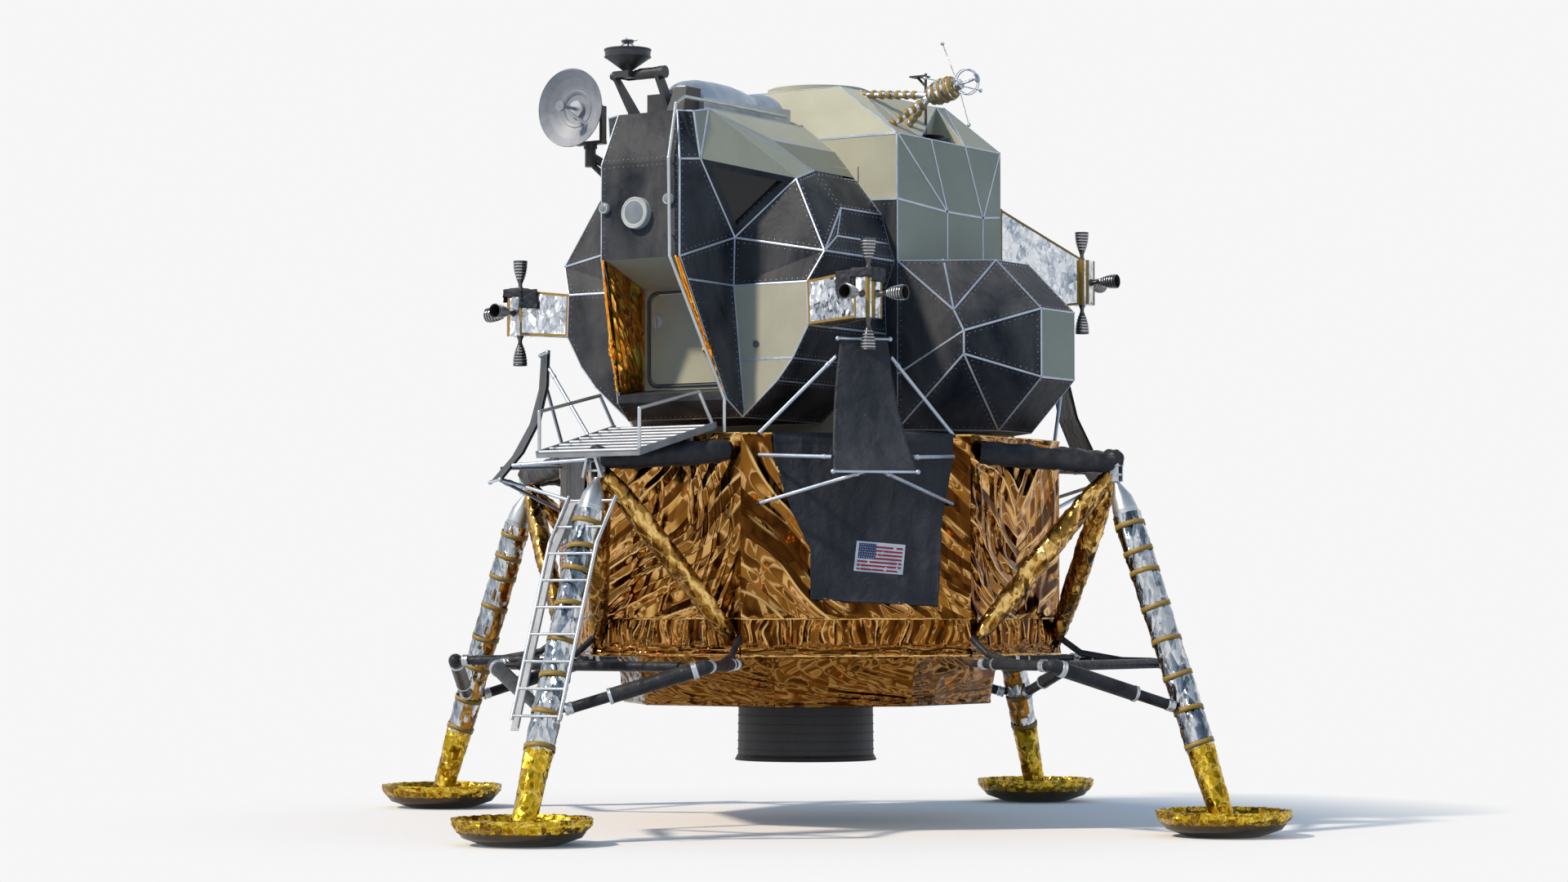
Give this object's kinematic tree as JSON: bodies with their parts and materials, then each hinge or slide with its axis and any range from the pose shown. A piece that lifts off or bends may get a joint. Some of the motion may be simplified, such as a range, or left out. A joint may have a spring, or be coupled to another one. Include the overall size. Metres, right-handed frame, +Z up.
{
  "type": "lunar lander",
  "caption": "Two-stage crewed lunar lander standing on its legs, with gimballed descent engine, hatches, thruster clusters, steerable dishes, porch and ladder.",
  "frame": {"origin": "on the floor under the middle of the footpads, the centre of the bounding box's bottom", "axes": "+Z up, -Y forward towards the forward hatch and ladder, +X to port"},
  "size_m": [9.4, 9.4, 6.807],
  "materials": {
    "amber_foil": "crinkled metallised foil",
    "dark_nozzle": "satin ribbed",
    "engine_metal": "satin",
    "pad_foil": "crinkled foil",
    "strut_foil": "crinkled foil with tape bands",
    "black_wrap": "wrinkled wrap",
    "bare_metal": "satin",
    "black_blanket": "matt blanket",
    "dark_panel": "mottled matt",
    "cream_panel": "matt",
    "silver_skin": "satin",
    "silver_foil": "crinkled foil",
    "dish_white": "matt",
    "black_bracket": "satin",
    "window_glass": "tinted",
    "lamp_glass": "clear over white"
  },
  "bodies": {
    "root": {"descent_body": "amber_foil", "base_skirt": "amber_foil", "footpad_port": "pad_foil", "footpad_aft": "pad_foil", "footpad_starboard": "pad_foil", "footpad_front": "pad_foil", "strut_port": "strut_foil", "strut_aft": "strut_foil", "strut_starboard": "strut_foil", "strut_front": "strut_foil", "outrigger_port": "black_wrap", "outrigger_aft": "black_wrap", "outrigger_starboard": "black_wrap", "outrigger_front": "black_wrap", "side_struts_port": "black_wrap", "side_struts_aft": "black_wrap", "side_struts_starboard": "black_wrap", "side_struts_front": "black_wrap", "interstage": "black_wrap", "ladder": "bare_metal", "porch": "bare_metal", "porch_rails": "bare_metal", "cabin_handrail": "bare_metal", "docking_tunnel": "bare_metal", "tripod_antenna": "bare_metal", "umbrella_antenna": "bare_metal", "thermal_blankets": "black_blanket", "deflector_port_front": "black_blanket", "deflector_starboard_front": "black_blanket", "deflector_port_aft": "black_blanket", "deflector_starboard_aft": "black_blanket", "cabin_shell": "dark_panel", "tank_bay_port": "dark_panel", "tank_bay_starboard": "dark_panel", "aft_bay": "dark_panel", "midsection": "cream_panel", "roof_fairing": "silver_skin", "rcs_port_front": "silver_foil", "rcs_starboard_front": "silver_foil", "rcs_port_aft": "silver_foil", "rcs_starboard_aft": "silver_foil", "radar_mount": "black_bracket", "sband_mount": "black_bracket", "cabin_windows": "window_glass", "front_lights": "lamp_glass"},
    "gimbal_ring": {"gimbal_ring": "engine_metal"},
    "engine": {"engine_block": "engine_metal", "engine_nozzle": "dark_nozzle"},
    "forward_hatch": {"forward_hatch": "cream_panel"},
    "overhead_hatch": {"overhead_hatch": "cream_panel"},
    "radar_yoke": {"radar_yoke": "black_bracket"},
    "radar_dish": {"radar_dish": "dish_white"},
    "sband_yoke": {"sband_yoke": "black_bracket"},
    "sband_dish": {"sband_dish": "dish_white"}
  },
  "joints": [
    {"name": "gimbal_pitch", "type": "hinge", "parent": "root", "child": "gimbal_ring", "pos_m": [0, 0, 2.2], "axis": [1, 0, 0], "range_deg": [-6, 6]},
    {"name": "gimbal_roll", "type": "hinge", "parent": "gimbal_ring", "child": "engine", "pos_m": [0, 0, 2.2], "axis": [0, 1, 0], "range_deg": [-6, 6]},
    {"name": "forward_hatch_hinge", "type": "hinge", "parent": "root", "child": "forward_hatch", "pos_m": [-0.43, -1.726, 4.2], "axis": [0, 0, 1], "range_deg": [0, 85]},
    {"name": "overhead_hatch_hinge", "type": "hinge", "parent": "root", "child": "overhead_hatch", "pos_m": [0, 0.611, 5.74], "axis": [1, 0, 0], "range_deg": [0, 80]},
    {"name": "radar_shaft", "type": "hinge", "parent": "root", "child": "radar_yoke", "pos_m": [-0.3, -2.17, 6.44], "axis": [1, 0, 0], "range_deg": [-55, 55]},
    {"name": "radar_trunnion", "type": "hinge", "parent": "radar_yoke", "child": "radar_dish", "pos_m": [-0.4, -2.17, 6.44], "axis": [0, 1, 0], "range_deg": [-12, 12]},
    {"name": "sband_azimuth", "type": "hinge", "parent": "root", "child": "sband_yoke", "pos_m": [-1.2, -1.62, 5.94], "axis": [0, 0, 1], "range_deg": [-90, 45]},
    {"name": "sband_elevation", "type": "hinge", "parent": "sband_yoke", "child": "sband_dish", "pos_m": [-1.2, -1.62, 6.25], "axis": [1, 0, 0], "range_deg": [-80, 10]}
  ]
}
